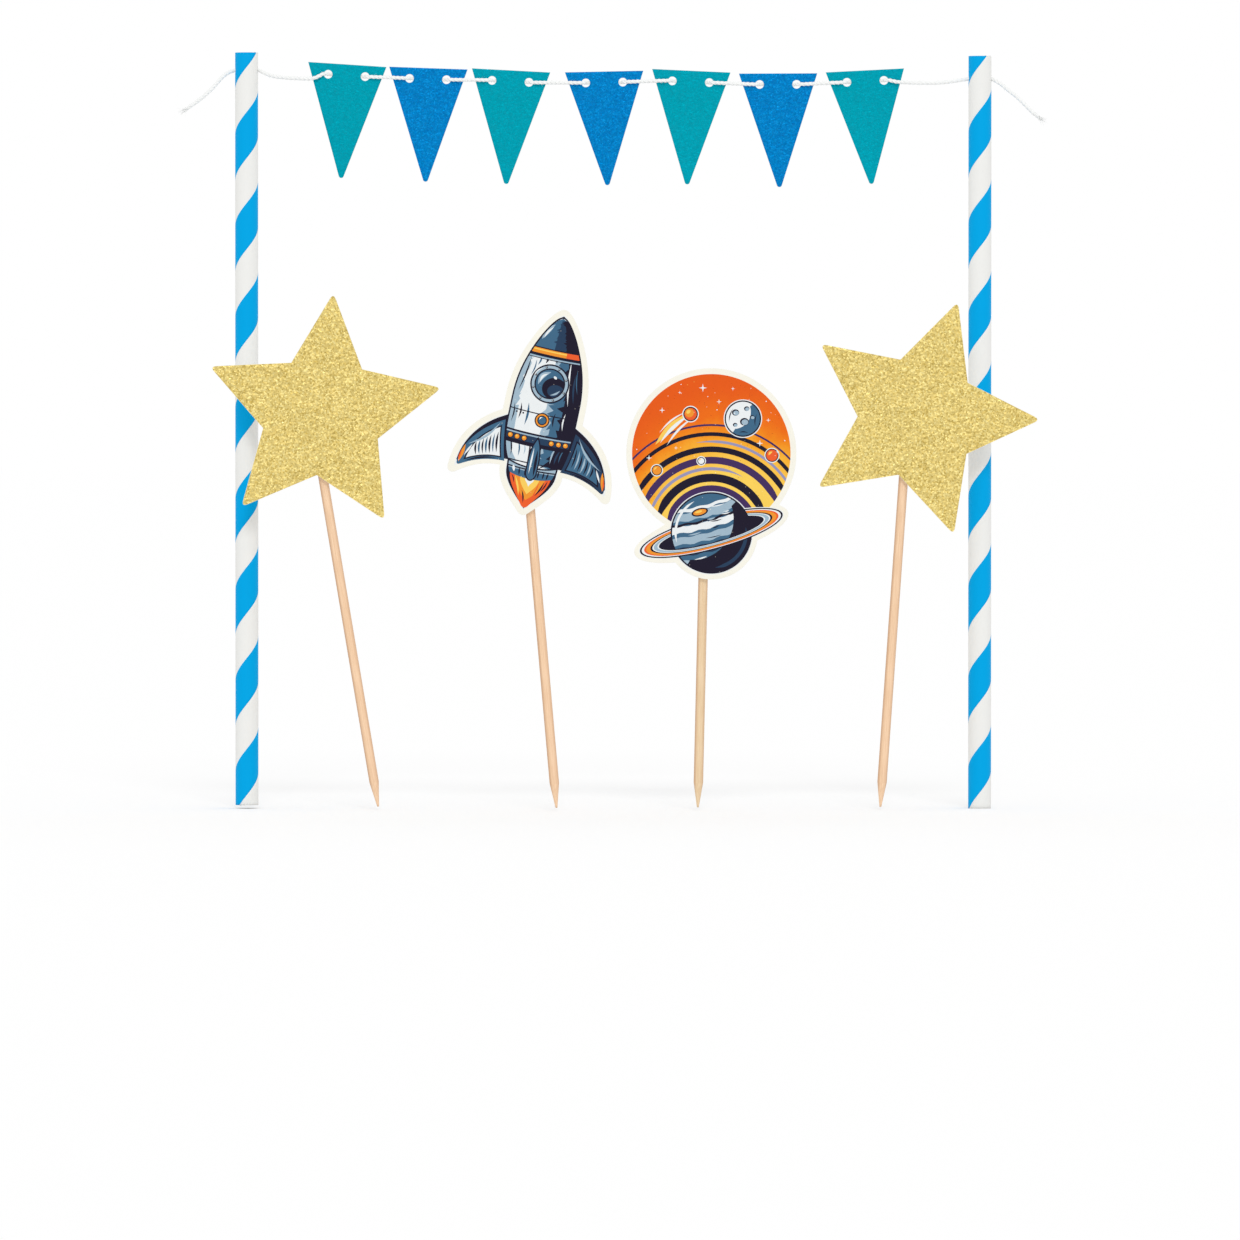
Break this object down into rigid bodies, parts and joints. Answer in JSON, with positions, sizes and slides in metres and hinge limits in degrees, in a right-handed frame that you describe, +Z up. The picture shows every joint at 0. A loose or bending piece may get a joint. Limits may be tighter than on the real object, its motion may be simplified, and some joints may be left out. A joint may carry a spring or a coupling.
{
  "type": "cake topper",
  "caption": "Cake topper set: glitter pennants on a twine between two striped paper straws, and star, rocket and planet cards on bamboo picks.",
  "frame": {"origin": "on top of the cake, midway between the two straws", "axes": "+X from the left straw to the right straw, -Y towards the viewer, so the picks stand on the -Y side, +Z up along the straws"},
  "size_m": [0.225, 0.0292, 0.1979],
  "materials": {
    "straw_paper": "satin",
    "twine_cotton": "matte",
    "glitter_teal": "gloss",
    "glitter_blue": "gloss",
    "glitter_gold": "gloss",
    "printed_card": "satin",
    "bamboo": "matte",
    "foam": "matte"
  },
  "bodies": {
    "bunting": {"straw_left": "straw_paper", "straw_right": "straw_paper", "twine_tail_left": "twine_cotton", "twine_span": "twine_cotton", "twine_tail_right": "twine_cotton"},
    "pennant_1": {"pennant_1": "glitter_teal"},
    "pennant_2": {"pennant_2": "glitter_blue"},
    "pennant_3": {"pennant_3": "glitter_teal"},
    "pennant_4": {"pennant_4": "glitter_blue"},
    "pennant_5": {"pennant_5": "glitter_teal"},
    "pennant_6": {"pennant_6": "glitter_blue"},
    "pennant_7": {"pennant_7": "glitter_teal"},
    "star_left": {"star_left_card": "glitter_gold", "star_left_pick": "bamboo", "star_left_pad": "foam"},
    "star_right": {"star_right_card": "glitter_gold", "star_right_pick": "bamboo", "star_right_pad": "foam"},
    "rocket": {"rocket_card": "printed_card", "rocket_pick": "bamboo", "rocket_pad": "foam"},
    "planet": {"planet_card": "printed_card", "planet_pick": "bamboo", "planet_pad": "foam"}
  },
  "joints": [
    {"name": "pennant_1_swing", "type": "hinge", "parent": "bunting", "child": "pennant_1", "pos_m": [-0.0698, 0, 0.16355], "axis": [0.9979, 0, -0.0645], "range_deg": [-30, 30]},
    {"name": "pennant_2_swing", "type": "hinge", "parent": "bunting", "child": "pennant_2", "pos_m": [-0.0485, 0, 0.1626], "axis": [0.9994, 0, -0.0349], "range_deg": [-30, 30]},
    {"name": "pennant_3_swing", "type": "hinge", "parent": "bunting", "child": "pennant_3", "pos_m": [-0.0269, 0, 0.162], "axis": [0.9986, 0, -0.0523], "range_deg": [-30, 30]},
    {"name": "pennant_4_swing", "type": "hinge", "parent": "bunting", "child": "pennant_4", "pos_m": [-0.00235, 0, 0.1617], "axis": [0.9998, 0, 0.0209], "range_deg": [-30, 30]},
    {"name": "pennant_5_swing", "type": "hinge", "parent": "bunting", "child": "pennant_5", "pos_m": [0.0203, 0, 0.1619], "axis": [0.999, 0, -0.0454], "range_deg": [-30, 30]},
    {"name": "pennant_6_swing", "type": "hinge", "parent": "bunting", "child": "pennant_6", "pos_m": [0.04315, 0, 0.1612], "axis": [1, 0, 0.0035], "range_deg": [-30, 30]},
    {"name": "pennant_7_swing", "type": "hinge", "parent": "bunting", "child": "pennant_7", "pos_m": [0.066, 0, 0.162], "axis": [0.9987, 0, 0.0506], "range_deg": [-30, 30]},
    {"name": "star_left_pull", "type": "slide", "parent": "bunting", "child": "star_left", "axis": [-0.165, 0, 0.9863], "range_m": [0, 0.03]},
    {"name": "star_right_pull", "type": "slide", "parent": "bunting", "child": "star_right", "axis": [0.0698, 0, 0.9976], "range_m": [0, 0.03]},
    {"name": "rocket_pull", "type": "slide", "parent": "bunting", "child": "rocket", "axis": [-0.0872, 0, 0.9962], "range_m": [0, 0.03]},
    {"name": "planet_pull", "type": "slide", "parent": "bunting", "child": "planet", "axis": [0.0227, 0, 0.9997], "range_m": [0, 0.03]}
  ]
}
